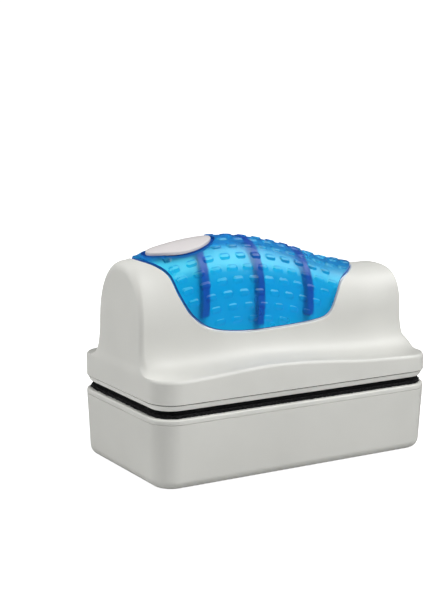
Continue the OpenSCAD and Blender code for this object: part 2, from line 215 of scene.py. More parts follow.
def half_sections(u, inset=0.0):
    """Half cross-sections at each station u, as (stations, points, (y, z)) from foot to ridge:
    the foot and rounded flange edge, and then the flare and crown."""
    smallest_r = 0.8
    u = np.atleast_1d(u)[:, None]
    end = half_l - inset
    foot_y = half_w - inset - pulled_in(u, end, max(corner_r - inset, 1))
    edge = pulled_in(u, end, max(end_edge_r - inset, smallest_r))
    side = along(GRIP_SIDE, u) - inset - edge
    crown_power = along(CROWN_POWER, u)
    top_edge = np.where(u < 0, pulled_in(u, end, max(end_top_r - inset, smallest_r)), edge)
    top = seam + along(RIDGE, u) - inset - top_edge
    wall_top = seam + along(FLANGE_TOP, u)
    shelf = wall_top - inset
    waist = wall_top + flare_h
    round_y = foot_y - flange_edge_r
    rise = np.linspace(0, 1, 5)[None, :]
    a = np.linspace(0, math.pi / 2, EDGE_POINTS)[None, 1:]
    low_y = np.hstack([foot_y + 0 * rise, round_y + flange_edge_r * np.cos(a)])
    low_z = np.hstack([
        seam + (shelf - flange_edge_r - seam) * rise, shelf + flange_edge_r * (np.sin(a) - 1)
    ])
    a = quarter(FLARE_POINTS)[None, :-1]
    b = quarter(CROWN_POINTS)[None, :]
    b_cos = np.maximum(np.cos(b), 0)
    high_y = np.hstack([
        round_y - (round_y - side) * np.sin(a) ** (2 / flare_power),
        side * b_cos ** (2 / crown_power),
    ])
    high_z = np.hstack([
        waist - (waist - shelf) * np.cos(a) ** (2 / flare_power),
        waist + (top - waist) * np.sin(b) ** (2 / crown_power),
    ])
    return np.stack([low_y, low_z], -1), np.stack([high_y, high_z], -1)


def run_lengths(line):
    """Distance run along each polyline, starting from 0."""
    step = np.linalg.norm(np.diff(line, axis=-2), axis=-1)
    return np.concatenate([np.zeros(step.shape[:-1] + (1,)), np.cumsum(step, -1)], -1)


def skin(u, s):
    """Points of the outer surface at stations u (n) and distances s (n, k) from the ridge.
    s is positive on the -Y side and negative on the +Y side."""
    high = half_sections(u)[1]
    run = run_lengths(high)
    out = np.empty(s.shape + (3,))
    for i in range(len(u)):
        at = run[i, -1] - np.abs(s[i])
        out[i, :, 1] = -np.sign(s[i]) * np.interp(at, run[i], high[i, :, 0])
        out[i, :, 2] = np.interp(at, run[i], high[i, :, 1])
    out[..., 0] = leaned(np.asarray(u)[:, None], out[..., 2])
    return out


def unit(v):
    """Vectors v at length 1."""
    return v / np.linalg.norm(v, axis=-1, keepdims=True)


def skin_normals(u, s):
    """Outward unit normals of the outer surface at the same places as skin()."""
    step = 0.05
    du = skin(u + step, s) - skin(u - step, s)
    ds = skin(u, s - step) - skin(u, s + step)
    return unit(np.cross(du, ds))


def ridge_run(u):
    """Distance from the flange's edge to the ridge at each station."""
    return run_lengths(half_sections(u)[1])[:, -1]


def height_at(x, y):
    """Height of the crown above a place on the floor plan, found in turns with its station."""
    z = np.full(np.shape(x), seam + high_end_h)
    for _ in range(6):
        u = station(x, z)
        side = along(GRIP_SIDE, u)
        waist = seam + along(FLANGE_TOP, u) + flare_h
        top = seam + along(RIDGE, u)
        crown_power = along(CROWN_POWER, u)
        reach = np.clip(1 - (np.abs(y) / side) ** crown_power, 0, 1)
        z = waist + (top - waist) * reach ** (1 / crown_power)
    return z


def cover_boundary():
    """Edge of the shell's cut-out, from its high-end tip to its low-end tip, as (u, s)."""
    past_tip = 0.01
    path = smooth_path(COVER_EDGE[1:-1], 400)
    z = path[:, 1] + seam
    u = station(path[:, 0], z)
    high = half_sections(u)[1]
    run = run_lengths(high)
    rows = []
    for i in range(len(u)):
        if z[i] < high[i, -1, 1]:
            rows.append((u[i], run[i, -1] - np.interp(z[i], high[i, :, 1], run[i])))
    rows = np.array(rows)
    first, last = rows[0], rows[-1]
    rows = np.vstack([[first[0] - past_tip, 0], rows, [last[0] + past_tip, 0]])
    length = run_lengths(rows)
    even = np.linspace(0, length[-1], 700)
    return np.column_stack([np.interp(even, length, column) for column in rows.T])


def moved_in(line, distance):
    """The cut-out's edge, moved towards the middle of the cover."""
    mirrored = np.vstack([line, (line * [1, -1])[-2:0:-1]])
    ahead = np.roll(mirrored, -2, 0) - np.roll(mirrored, 2, 0)
    ahead = unit(ahead)
    inward = np.column_stack([ahead[:, 1], -ahead[:, 0]])
    moved = (mirrored + distance * inward)[:len(line)]
    moved[:, 0] = np.maximum.accumulate(moved[:, 0])
    moved[0, 1] = 0
    moved[-1, 1] = 0
    return moved


def tip_spread(reach, tip, direction):
    """Stations that gather towards one tip of the cover."""
    t = np.linspace(0, 1, 26)[1:]
    return tip + direction * (0.01 + reach * t**2.2)


def cover_stations(line, middle_step):
    """Stations across the cover from tip to tip, without the tips themselves."""
    reach = 5.0
    left, right = line[0, 0], line[-1, 0]
    middle = np.arange(left + reach + middle_step, right - reach, middle_step)
    return np.unique(np.concatenate([
        tip_spread(reach, left, 1), middle, tip_spread(reach, right, -1)
    ]))


EDGE = cover_boundary()
PLATE_TOP = float(height_at(np.array([PLATE_X]), np.array([0.0]))[0])


# ---- Meshes ----

class Build:
    """Collects the points and faces of one mesh."""

    def __init__(self):
        self.blocks = []
        self.faces = []
        self.count = 0

    def points(self, array):
        """Adds an array of points and returns their numbers in the same layout."""
        flat = np.asarray(array, float).reshape(-1, 3)
        numbers = self.count + np.arange(len(flat)).reshape(np.shape(array)[:-1])
        self.blocks.append(flat)
        self.count += len(flat)
        return numbers

    def quads(self, numbers, keep=None):
        """Fills a grid of points with four-sided faces, or only those where keep is true."""
        a, b, c, d = numbers[:-1, :-1], numbers[1:, :-1], numbers[1:, 1:], numbers[:-1, 1:]
        faces = np.stack([a, b, c, d], -1)
        self.faces.extend((faces if keep is None else faces[keep]).reshape(-1, 4).tolist())

    def ring(self, loop_a, loop_b):
        """Joins two closed loops of the same length."""
        grid = np.stack([np.append(loop_a, loop_a[0]), np.append(loop_b, loop_b[0])])
        self.quads(grid)

    def grow(self, loop, ring):
        """Adds a closed ring of points, joins it to loop and returns its numbers."""
        numbers = self.points(ring)
        self.ring(loop, numbers)
        return numbers

    def fan(self, loop, middle):
        """Closes a loop with triangles round one middle point."""
        m = int(self.points([middle])[0])
        for a, b in zip(loop, np.roll(loop, -1)):
            self.faces.append([int(a), int(b), m])

    def loft(self, rings):
        """Joins a stack of closed rings, and returns the numbers of each ring's points."""
        numbers = [self.points(ring) for ring in rings]
        for below, above in zip(numbers, numbers[1:]):
            self.ring(below, above)
        return numbers

    def finish(self, name, sharp=32, merge=0.002, second=()):
        """Makes the Blender object, with faces turned outwards and its edges shaded by angle.
        The faces numbered in second take the object's second material."""
        mesh = bpy.data.meshes.new(name)
        mesh.from_pydata((np.vstack(self.blocks) * MM).tolist(), [], self.faces)
        chosen = np.zeros(len(self.faces), np.int32)
        chosen[list(second)] = 1
        mesh.polygons.foreach_set("material_index", chosen)
        bm = bmesh.new()
        bm.from_mesh(mesh)
        bmesh.ops.remove_doubles(bm, verts=bm.verts, dist=merge * MM)
        bmesh.ops.recalc_face_normals(bm, faces=bm.faces)
        if bm.calc_volume(signed=True) < 0:
            bmesh.ops.reverse_faces(bm, faces=bm.faces)
        loose = [v for v in bm.verts if not v.link_faces]
        bmesh.ops.delete(bm, geom=loose, context="VERTS")
        bm.to_mesh(mesh)
        bm.free()
        mesh.shade_smooth()
        mesh.set_sharp_from_angle(angle=math.radians(sharp))
        obj = bpy.data.objects.new(name, mesh)
        bpy.context.scene.collection.objects.link(obj)
        return obj


def dress(obj, body, slot, materials, *nodes):
    """Gives a finished piece its body and materials, and hides the CAD nodes it stands for. slot is
    not used.
    """
    for material in materials:
        obj.data.materials.append(material)
    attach(obj, body)
    if nodes:
        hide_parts(*nodes)


def grid_border(rows, columns):
    """Places (row, column) in order round the border of a grid of faces."""
    return np.array(
        [(i, 0) for i in range(rows)] + [(rows, j) for j in range(columns)]
        + [(i, columns) for i in range(rows, 0, -1)] + [(0, j) for j in range(columns, 0, -1)]
    )


def on_near_side(u, half):
    """Half cross-sections (y, z) at stations u, as points on the -Y side."""
    x = np.broadcast_to(u[:, None, None], half.shape[:2] + (1,))
    points = np.concatenate([x, -half[..., :1], half[..., 1:]], -1)
    points[..., 0] = leaned(points[..., 0], points[..., 2])
    return points


def plan_ring(inset, z):
    """Outline of the halves seen from above, a distance inset inside the full outline."""
    r = max(corner_r - inset, 0.6)
    x = half_l - inset - r
    y = half_w - inset - r
    corners = []
    for q in range(4):
        sx = 1 if q in (0, 3) else -1
        sy = 1 if q < 2 else -1
        turn = np.radians(90 * q + 90 * np.arange(CORNER_STEPS + 1) / CORNER_STEPS)
        corners.append(np.column_stack([sx * x + r * np.cos(turn), sy * y + r * np.sin(turn)]))
    full = []
    t = np.linspace(0, 1, SIDE_STEPS + 1)[1:-1, None]
    for here, following in zip(corners, corners[1:] + corners[:1]):
        full.append(here)
        full.append(here[-1] * (1 - t) + following[0] * t)
    flat = np.vstack(full)
    return np.column_stack([flat, np.full(len(flat), z)])


def rounded_corner(before, corner, after, r, steps):
    """Points that round one corner of a profile, by at most r."""
    to_a = before - corner
    to_b = after - corner
    reach = min(r, 0.45 * np.linalg.norm(to_a), 0.45 * np.linalg.norm(to_b))
    a = corner + to_a / np.linalg.norm(to_a) * reach
    b = corner + to_b / np.linalg.norm(to_b) * reach
    t = np.linspace(0, 1, steps + 1)[:, None]
    return (1 - t) ** 2 * a + 2 * t * (1 - t) * corner + t**2 * b


def rounded_profile(points, steps=4):
    """An open (inset, z) profile whose inner corners (inset, z, r) are rounded by r."""
    flat = np.array([p[:2] for p in points], float)
    radii = [p[2] for p in points[1:-1]]
    corners = [rounded_corner(*flat[i:i + 3], r, steps) for i, r in enumerate(radii)]
    return np.vstack([flat[:1], *corners, flat[-1:]])


def hollow_body(name, profile, second=()):
    """Lofts a profile that starts and ends close to the middle of the floor plan."""
    build = Build()
    numbers = build.loft([plan_ring(inset, z) for inset, z in profile])
    build.fan(numbers[0], (0, 0, profile[0][1]))
    build.fan(numbers[-1], (0, 0, profile[-1][1]))
    return build.finish(name, second=second)


# ---- Shell of the hand-held half ----

def shell_stations():
    """Stations along the shell: close together round the ends and the cover's tips."""
    ends = []
    for r, count in ((corner_r, 22), (end_top_r, 8), (end_edge_r, 14)):
        a = np.linspace(0, math.pi / 2, count)
        ends.append(half_l - r * (1 - np.sin(a)))
    ends = np.concatenate(ends)
    line = moved_in(EDGE, -LIP_R)
    tips = np.concatenate([cover_stations(line, 0.55), [line[0, 0], line[-1, 0]]])
    middle = np.arange(-half_l + corner_r, half_l - corner_r, 0.8)
    middle = middle[(middle < line[0, 0] - 0.2) | (middle > line[-1, 0] + 0.2)]
    u = np.unique(np.concatenate([-ends, middle, tips, ends]))
    return u, line


def cap_columns(build, numbers, points, row, half):
    """Closes one end with strips that run straight across, and returns their numbers."""
    left = points[row, :half]
    right = points[row, ::-1][:half]
    t = np.linspace(0, 1, CAP_COLUMNS + 1)[1:-1]
    inner = left[:, None] * (1 - t)[None, :, None] + right[:, None] * t[None, :, None]
    added = build.points(inner)
    grid = np.hstack([numbers[row, :half][:, None], added, numbers[row, ::-1][:half][:, None]])
    build.quads(grid)
    return grid


def foot_loop(numbers, start_cap, end_cap):
    """The closed loop round the foot of a tunnel of cross-sections."""
    return np.concatenate([
        numbers[:, 0], end_cap[0, 1:-1], numbers[::-1, -1], start_cap[0, -2:0:-1]
    ])


def make_handle_shell():
    """The shell, with its recess for the cover, open at the foot and hollow in the flange."""
    u, line = shell_stations()
    limit = np.interp(u, line[:, 0], line[:, 1], left=0, right=0)
    total = ridge_run(u)
    t = np.linspace(0, 1, 96)[None, 1:]
    s = total[:, None] * (1 - t) + limit[:, None] * t
    front = np.concatenate([on_near_side(u, half_sections(u)[0]), skin(u, s)], 1)
    points = np.concatenate([front, (front * MIRRORED)[:, ::-1]], 1)
    half = front.shape[1]
    build = Build()
    numbers = build.points(points)
    build.quads(numbers[:, :half])
    build.quads(numbers[:, half:])
    start_cap = cap_columns(build, numbers, points, 0, half)
    end_cap = cap_columns(build, numbers, points, -1, half)
    recess_faces = add_recess(build, numbers, half, u, limit)
    build.ring(foot_loop(numbers, start_cap, end_cap), add_flange_hollow(build, u))
    return build.finish("handle_shell_body", second=recess_faces)


def add_recess(build, numbers, half, u, limit):
    """The rolled lip round the cut-out, the wall of the recess and its floor.
    Returns the faces of the floor."""
    columns = 46
    inside = np.flatnonzero(limit > 0)
    rows = np.concatenate([[inside[0] - 1], inside, [inside[-1] + 1]])
    loop = np.concatenate([numbers[rows, half - 1], numbers[rows[-2:0:-1], half]])
    loop_u = np.concatenate([u[rows], u[rows[-2:0:-1]]])
    loop_s = np.concatenate([limit[rows], -limit[rows[-2:0:-1]]])
    at, n, towards = edge_frame(loop_u, loop_s)
    last = loop
    for a in np.radians([25, 50, 75, 90]):
        last = build.grow(last, at + towards * LIP_R * math.sin(a) - n * LIP_R * (1 - math.cos(a)))
    for depth in (1.2, 2.4, RECESS_DEPTH):
        last = build.grow(last, at + towards * LIP_R - n * depth)
    t = np.linspace(1, -1, columns + 1)[None, 1:-1]
    floor_u = u[inside]
    floor_s = limit[inside][:, None] * t
    floor = build.points(skin(floor_u, floor_s) - RECESS_DEPTH * skin_normals(floor_u, floor_s))
    count = len(inside)
    floor = np.hstack([last[1:count + 1][:, None], floor, last[:count + 1:-1][:, None]])
    first = len(build.faces)
    build.quads(floor)
    for tip, row in ((last[0], floor[0]), (last[count + 1], floor[-1])):
        for a, b in zip(row, row[1:]):
            build.faces.append([int(a), int(b), int(tip)])
    return range(first, len(build.faces))


def add_flange_hollow(build, u):
    """The hollow inside the flange, closed by a flat roof under the recess.
    Returns the loop of points round its foot."""
    rise_points = 16
    roof_z = seam + 13.0
    inner_u = u * (half_l - wall) / half_l
    sections = np.concatenate(half_sections(inner_u, wall), 1)
    run = run_lengths(sections)
    side = np.empty((len(u), rise_points, 2))
    for i in range(len(u)):
        stop = np.interp(roof_z, sections[i, :, 1], run[i])
        at_run = np.linspace(0, stop, rise_points)
        side[i, :, 0] = np.interp(at_run, run[i], sections[i, :, 0])
        side[i, :, 1] = np.interp(at_run, run[i], sections[i, :, 1])
    inner = on_near_side(inner_u, side)
    across = np.linspace(0, 1, CAP_COLUMNS + 1)[1:-1, None]
    roof = inner[:, -1:] * (1 - across) + inner[:, -1:] * MIRRORED * across
    inner = np.concatenate([inner, roof, (inner * MIRRORED)[:, ::-1]], 1)
    numbers = build.points(inner)
    build.quads(numbers)
    start = cap_columns(build, numbers, inner, 0, rise_points)
    end = cap_columns(build, numbers, inner, -1, rise_points)
    return foot_loop(numbers, start, end)


def edge_frame(u, s):
    """Points round a closed edge, with their normals and the directions towards the cover."""
    at = skin(u, s[:, None])[:, 0]
    n = skin_normals(u, s[:, None])[:, 0]
    ahead = np.roll(at, -1, 0) - np.roll(at, 1, 0)
    ahead = unit(ahead)
    towards = np.cross(n, ahead)
    towards = unit(towards)
    middle = at.mean(0)
    if np.einsum("ij,ij->i", towards, middle - at).sum() < 0:
        towards = -towards
    return at, n, towards


# ---- Grip cover, its ribs and the name plate ----

def dash_height(u, s):
    """Height of the raised dashes above the cover at stations u (n, 1) and distances s (n, k)."""
    row = np.rint(s / ROW_GAP)
    across = s - row * ROW_GAP
    shift = DASH_SHIFT * np.abs(row) + DASH_START
    pitch = DASH_PITCH - PITCH_DRIFT * u
    phase = (u - shift) / pitch
    along_x = (phase - np.rint(phase)) * pitch
    dx = np.abs(along_x) - DASH_HALF[0] + DASH_CORNER
    dy = np.abs(across) - DASH_HALF[1] + DASH_CORNER
    outside = np.hypot(np.maximum(dx, 0), np.maximum(dy, 0)) + np.minimum(np.maximum(dx, dy), 0)
    t = np.clip(0.5 - (outside - DASH_CORNER) / DASH_SLOPE, 0, 1)
    height = DASH_H * t * t * (3 - 2 * t)
    # no dash near the cover's edge or the name plate
    centre_u = u - along_x
    centre_s = row * ROW_GAP
    edge_s = np.interp(centre_u, EDGE[:, 0], EDGE[:, 1], left=0, right=0)
    slope = np.gradient(EDGE[:, 1], EDGE[:, 0] + 1e-6 * np.arange(len(EDGE)))
    steep = np.interp(centre_u, EDGE[:, 0], np.clip(np.abs(slope), 0, 4))
    room = (edge_s - np.abs(centre_s)) / np.sqrt(1 + steep**2)
    clear_half = PLATE_HALF + DASH_CLEAR
    plate = np.hypot((centre_u - PLATE_X) / clear_half[0], centre_s / clear_half[1])
    height *= (room > DASH_ROOM) & (plate > 1)
    for rise, reach, beyond in zip(TIP_RISE, TIP_REACH, (EDGE[0, 0] - u, u - EDGE[-1, 0])):
        tip = np.clip(1 + beyond / reach, 0, 1)
        height = height + rise * tip * tip * (3 - 2 * tip)
    return height


def ellipse_reach(x, y, grow):
    """Below 1 inside the name plate's oval grown by a distance, above 1 outside it."""
    return np.hypot((x - PLATE_X) / (PLATE_HALF[0] + grow), y / (PLATE_HALF[1] + grow))


def oval_ring(angles, grow, drop):
    """Points of an oval round the name plate, a distance drop below the crown."""
    x = PLATE_X + (PLATE_HALF[0] + grow) * np.cos(angles)
    y = (PLATE_HALF[1] + grow) * np.sin(angles)
    return np.column_stack([x, y, height_at(x, y) - drop])


def hole_border(keep):
    """Grid points (row, column) in order round the one hole of a grid of kept faces."""
    following = {}
    steps = (
        ((0, 0), (1, 0), (0, -1)), ((1, 0), (1, 1), (1, 0)),
        ((1, 1), (0, 1), (0, 1)), ((0, 1), (0, 0), (-1, 0)),
    )
    for i, j in np.argwhere(~keep):
        for begin, end, side in steps:
            if keep[i + side[0], j + side[1]]:
                following[i + begin[0], j + begin[1]] = (i + end[0], j + end[1])
    start = next(iter(following))
    loop = [start]
    while following[loop[-1]] != start:
        loop.append(following[loop[-1]])
    return np.array(loop)


def evened(turn):
    """Angles round a loop, smoothed so that they advance steadily all the way."""
    way = 1 if turn[-1] > turn[0] else -1
    count = len(turn)
    drift = way * turn - 2 * math.pi * np.arange(count) / count
    window = 9
    wrapped = np.concatenate([drift[-window:], drift, drift[:window]])
    smooth = np.convolve(wrapped, np.ones(2 * window + 1) / (2 * window + 1), "valid")
    steady = np.maximum.accumulate(smooth + 2 * math.pi * np.arange(count) / count)
    return way * steady


def make_grip_cover():
    """The cover, with the name plate's seat let into it. The seat and the rounded edge take a deep
    blue second material: the thicker plastic there, and painted shade under the plate and at the
    edge."""
    line = moved_in(EDGE, COVER_GAP + COVER_EDGE_R)
    u = cover_stations(line, 0.27)
    u = u[:3 * ((len(u) - 1) // 3) + 1]
    limit = np.interp(u, line[:, 0], line[:, 1])
    columns = 216
    t = np.linspace(1, -1, columns + 1)[None, :]
    s = limit[:, None] * t
    base = skin(u, s)
    n = skin_normals(u, s)
    outer = base + n * dash_height(u[:, None] + 0 * s, s)[..., None]

    # hole for the name plate's seat: its border points are moved onto an even oval
    middle = (base[:-1, :-1] + base[1:, 1:]) / 2
    keep = ellipse_reach(middle[..., 0], middle[..., 1], SEAT_MARGIN) > 1
    keep |= middle[..., 2] < seam + high_end_h / 2
    rows, cols = hole_border(keep).T
    spot = outer[rows, cols]
    grown = PLATE_HALF + SEAT_MARGIN
    turn = np.unwrap(np.arctan2(spot[:, 1] / grown[1], (spot[:, 0] - PLATE_X) / grown[0]))
    turn = evened(turn)
    outer[rows, cols] = oval_ring(turn, SEAT_MARGIN, 0)

    build = Build()
    numbers = build.points(outer)
    build.quads(numbers, keep)
    loop = numbers[rows, cols]
    clear_rings = 3
    first_seat_face = len(build.faces) + clear_rings * len(loop)
    for past_plate, drop in SEAT_RINGS:
        loop = build.grow(loop, oval_ring(turn, past_plate, drop))
    build.fan(loop, (PLATE_X, 0, PLATE_TOP - SEAT_DEPTH))
    seat_faces = range(first_seat_face, len(build.faces))

    # rounded edge down to the inner face
    border = grid_border(len(u) - 1, columns)
    loop = numbers[border[:, 0], border[:, 1]]
    at, n_edge, towards = edge_frame(u[border[:, 0]], s[border[:, 0], border[:, 1]])
    first_edge_face = len(build.faces) + len(loop)
    for a in np.radians([22, 45, 67, 90]):
        ring = at - towards * COVER_EDGE_R * math.sin(a) - n_edge * COVER_EDGE_R * (1 - math.cos(a))
        loop = build.grow(loop, ring)
    # the deep blue here is partly thicker plastic and partly painted shade under the plate and
    # along the edge
    deep_shaded_faces = [*seat_faces, *range(first_edge_face, len(build.faces))]

    # inner face, with one point for every three of the outer face
    inner_numbers = build.points(base[::3, ::3] - COVER_T * n[::3, ::3])
    build.quads(inner_numbers)
    rim = build.points(at[::3] - towards[::3] * COVER_EDGE_R - n_edge[::3] * COVER_T)
    small = border[::3] // 3
    inner_loop = inner_numbers[small[:, 0], small[:, 1]]
    build.ring(rim, inner_loop)
    count = len(rim)
    for k in range(count):
        following = (k + 1) % count
        upper = [int(loop[(3 * k + step) % len(loop)]) for step in range(4)]
        build.faces.append([*upper, int(rim[following]), int(rim[k])])
    return build.finish("grip_cover_skin", sharp=50, second=deep_shaded_faces)


def make_cover_ribs():
    """The cross ribs, which lean towards the low end as they rise to the ridge."""
    build = Build()
    bottom = RECESS_DEPTH - 0.1
    points_across = 5
    points_along = 90
    for place, stop in RIBS:
        across = np.linspace(-RIB_HALF_T, RIB_HALF_T, points_across)
        reach = float(np.interp(place, EDGE[:, 0], EDGE[:, 1])) - stop
        columns = [
            (place + RIB_LEAN * (1 - abs(t)) + across, np.full((points_across, 1), reach * t))
            for t in np.linspace(1, -1, points_along)
        ]
        at = np.hstack([skin(u, s) for u, s in columns])
        n = np.hstack([skin_normals(u, s) for u, s in columns])
        # a rib is lower where it passes under the name plate's seat
        sunk = np.clip(10 * (1.2 - ellipse_reach(at[..., 0], at[..., 1], 1.5)), 0, 1)
        top = RIB_DEPTH + RIB_SINK * sunk[..., None]
        upper = build.points(at - n * top)
        lower = build.points(at - n * bottom)
        build.quads(upper)
        build.quads(lower)
        border = grid_border(points_across - 1, points_along - 1)
        build.ring(upper[border[:, 0], border[:, 1]], lower[border[:, 0], border[:, 1]])
    return build.finish("grip_cover_ribs")


def make_name_plate():
    """The blank oval inlay, which follows the crown and stands a little proud of it."""
    build = Build()
    turn = np.linspace(0, 2 * math.pi, 160, endpoint=False)
    gap = 0.12
    proud = 0.05
    edge_r = 0.3
    under_gap = 0.02
    rings = [
        oval_ring(turn, -gap - edge_r, SEAT_DEPTH - under_gap),
        oval_ring(turn, -gap, SEAT_DEPTH - 0.25),
    ]
    for a in np.radians([0, 22, 45, 67, 90]):
        inward = gap + edge_r * (1 - math.cos(a))
        rings.append(oval_ring(turn, -inward, edge_r * (1 - math.sin(a)) - proud))
    for share in np.linspace(0.93, 0.06, 16):
        x = PLATE_X + PLATE_HALF[0] * share * np.cos(turn)
        y = PLATE_HALF[1] * share * np.sin(turn)
        rings.append(np.column_stack([x, y, height_at(x, y) + proud]))
    numbers = build.loft(rings)
    build.fan(numbers[-1], (PLATE_X, 0, PLATE_TOP + proud))
    build.fan(numbers[0], (PLATE_X, 0, PLATE_TOP - SEAT_DEPTH + under_gap))
    return build.finish("name_plate_inlay", sharp=60)


# ---- Tub, lid and base plate ----
# Each is a profile of (inset from the full outline, height, radius of an inner corner), from the
# middle of one face, over the side, to the middle of the other.

CORE = 20.0  # inset where a profile's flat faces end, close to the middle of the floor plan

# Skirt of the lid and of the base plate, which reaches into the tub and into the shell
SKIRT_IN = wall + 0.15
SKIRT_T = 1.2
SKIRT_H = 2.4


def make_scrubber_tub():
    draft = 1.1
    edge_r = 3.0
    foot = draft * (1 - edge_r / tub_h)
    arc = [
        (foot + edge_r * (1 - math.cos(a)), edge_r * (1 - math.sin(a)))
        for a in np.radians(np.linspace(90, 0, 13))
    ]
    outside = [(CORE, 0.0), (8.0, 0.0)] + arc + [
        (draft * (1 - z / tub_h), z) for z in np.linspace(edge_r, tub_h - 0.6, 14)[1:]
    ]
    rim = rounded_profile([
        (0.045, tub_h - 0.6), (0, tub_h - 0.05, 0.12), (1.2, tub_h - 0.05, 0.1),
        (1.25, tub_h - 1.0, 0.05), (wall, tub_h - 1.0, 0.05), (wall + 0.2, tub_h - 4)
    ])
    inside = [(wall + draft, wall + 1.0), (wall + draft + 1, wall), (CORE, wall)]
    return hollow_body("scrubber_tub_body", [*outside, *rim, *inside])


def make_scrubber_lid():
    edge_r = 0.9
    low = tub_h + 0.05
    outside = rounded_profile([
        (CORE, lid_top), (0, lid_top, edge_r), (0, low, 0.12), (1.2, low)
    ], steps=8)
    inside = [
        (SKIRT_IN, tub_h), (SKIRT_IN, tub_h - SKIRT_H), (SKIRT_IN + SKIRT_T, tub_h - SKIRT_H),
        (SKIRT_IN + SKIRT_T, tub_h), (CORE, tub_h)
    ]
    return hollow_body("scrubber_lid_plate", [*outside, *inside])


def make_base_plate():
    top = seam - SEAM_GAP
    low = base_low[2]
    groove_in = 1.5
    roof = seam - 0.01
    outside = rounded_profile([
        (CORE, low), (base_taper, low, 0.25), (0.45, top - 0.3, 0.15), (0.2, top, 0.08), (0.5, top)
    ])
    inside = [
        (groove_in, top), (groove_in, roof), (SKIRT_IN, roof), (SKIRT_IN, seam + SKIRT_H),
        (SKIRT_IN + SKIRT_T, seam + SKIRT_H), (SKIRT_IN + SKIRT_T, seam), (CORE, seam)
    ]
    # the groove's faces, which take the painted shadow, join the last ring of the outside to the
    # first three of the inside
    ring_faces = len(plan_ring(0, 0))
    first = (len(outside) - 1) * ring_faces
    groove = range(first, first + 3 * ring_faces)
    return hollow_body("outer_base_plate_body", [*outside, *inside], groove)


# ---- Materials ----

def new_material(name):
    material = bpy.data.materials.new(name)
    material.use_nodes = True
    nodes = material.node_tree.nodes
    return material, material.node_tree, nodes["Principled BSDF"]


def set_inputs(node, **values):
    for key, value in values.items():
        node.inputs[key.replace("_", " ")].default_value = value


def object_noise(tree, scale, detail=3.0, roughness=0.5, stretch=(1, 1, 1)):
    """A noise texture fixed to the object, scale in waves per metre."""
    place = tree.nodes.new("ShaderNodeTexCoord")
    mapping = tree.nodes.new("ShaderNodeMapping")
    mapping.inputs["Scale"].default_value = stretch
    noise = tree.nodes.new("ShaderNodeTexNoise")
    set_inputs(noise, Scale=scale, Detail=detail, Roughness=roughness)
    tree.links.new(place.outputs["Object"], mapping.inputs["Vector"])
    tree.links.new(mapping.outputs["Vector"], noise.inputs["Vector"])
    return noise.outputs["Fac"]


def ramp(tree, source, stops):
    """A colour ramp driven by source, with stops as (place, colour)."""
    node = tree.nodes.new("ShaderNodeValToRGB")
    elements = node.color_ramp.elements
    while len(elements) < len(stops):
        elements.new(0.5)
    for element, (place, colour) in zip(elements, stops):
        element.position = place
        element.color = (*colour, 1)
    tree.links.new(source, node.inputs["Fac"])
    return node.outputs["Color"]


def spread(tree, source, low, high):
    """Maps source, 0 to 1, onto low to high."""
    node = tree.nodes.new("ShaderNodeMapRange")
    set_inputs(node, To_Min=low, To_Max=high)
    tree.links.new(source, node.inputs["Value"])
    return node.outputs["Result"]


def bump(tree, shader, source, distance):
    """Bumps as high as distance, in metres, where source is 1."""
    node = tree.nodes.new("ShaderNodeBump")
    set_inputs(node, Strength=1.0, Distance=distance)
    tree.links.new(source, node.inputs["Height"])
    tree.links.new(node.outputs["Normal"], shader.inputs["Normal"])


def moulded_plastic(name, colour, rough, drift=0.03):
    """Moulded plastic with a fine grain, a slow drift in tone and small changes in gloss."""
    grain = 0.02 * MM
    material, tree, shader = new_material(name)
    light = tuple(min(1, c * (1 + drift)) for c in colour)
    dark = tuple(c * (1 - drift) for c in colour)
    slow = object_noise(tree, 45, 2)
    fine = object_noise(tree, 5200, 2)
    tree.links.new(ramp(tree, slow, [(0.3, dark), (0.7, light)]), shader.inputs["Base Color"])
    tree.links.new(spread(tree, slow, rough - 0.04, rough + 0.04), shader.inputs["Roughness"])
    bump(tree, shader, fine, grain)
    return material


def cover_plastic():
    """Satin clear blue plastic, tinted through its thickness and deeper at a slant, with a painted
    highlight band on its shoulder.
    """
    material, tree, shader = new_material("cover_plastic")
    slow = object_noise(tree, 60, 2)
    # painted highlight: paler where the normal tilts partly upward, on the shoulder between the
    # sides and the ridge, and deeper blue where it points straight up
    place = tree.nodes.new("ShaderNodeTexCoord")
    split = tree.nodes.new("ShaderNodeSeparateXYZ")
    tree.links.new(place.outputs["Normal"], split.inputs["Vector"])
    shoulder_highlight_tint = ramp(tree, split.outputs["Z"], [
        (0.3, (0.004, 0.46, 0.77)), (0.42, (0.004, 0.5, 0.76)), (0.54, (0.1, 0.82, 0.96)),
        (0.8, (0.11, 0.83, 0.97)), (0.97, (0.002, 0.37, 0.84))
    ])
    slant = tree.nodes.new("ShaderNodeLayerWeight")
    deep = tree.nodes.new("ShaderNodeMix")
    deep.data_type = "RGBA"
    deep.inputs["B"].default_value = (0.001, 0.22, 0.72, 1)
    tree.links.new(slant.outputs["Facing"], deep.inputs["Factor"])
    tree.links.new(shoulder_highlight_tint, deep.inputs["A"])
    tree.links.new(deep.outputs["Result"], shader.inputs["Base Color"])
    tree.links.new(spread(tree, slow, 0.25, 0.31), shader.inputs["Roughness"])
    set_inputs(shader, IOR=1.35, Transmission_Weight=0.9)
    bump(tree, shader, object_noise(tree, 900, 2), 0.00001)
    return material


def black_fabric(name, colour, sheen, scale):
    """Black cloth with a fine nap, scale in fibres per metre."""
    material, tree, shader = new_material(name)
    fine = object_noise(tree, scale, 4, 0.7)
    slow = object_noise(tree, 300, 3)
    light = tuple(2.6 * c for c in colour)
    tree.links.new(ramp(tree, fine, [(0.35, colour), (0.75, light)]), shader.inputs["Base Color"])
    tree.links.new(spread(tree, slow, 0.82, 1.0), shader.inputs["Roughness"])
    set_inputs(shader, Sheen_Weight=sheen, Sheen_Roughness=0.5)
    shader.inputs["Specular IOR Level"].default_value = 0.25
    bump(tree, shader, fine, 0.00012)
    return material


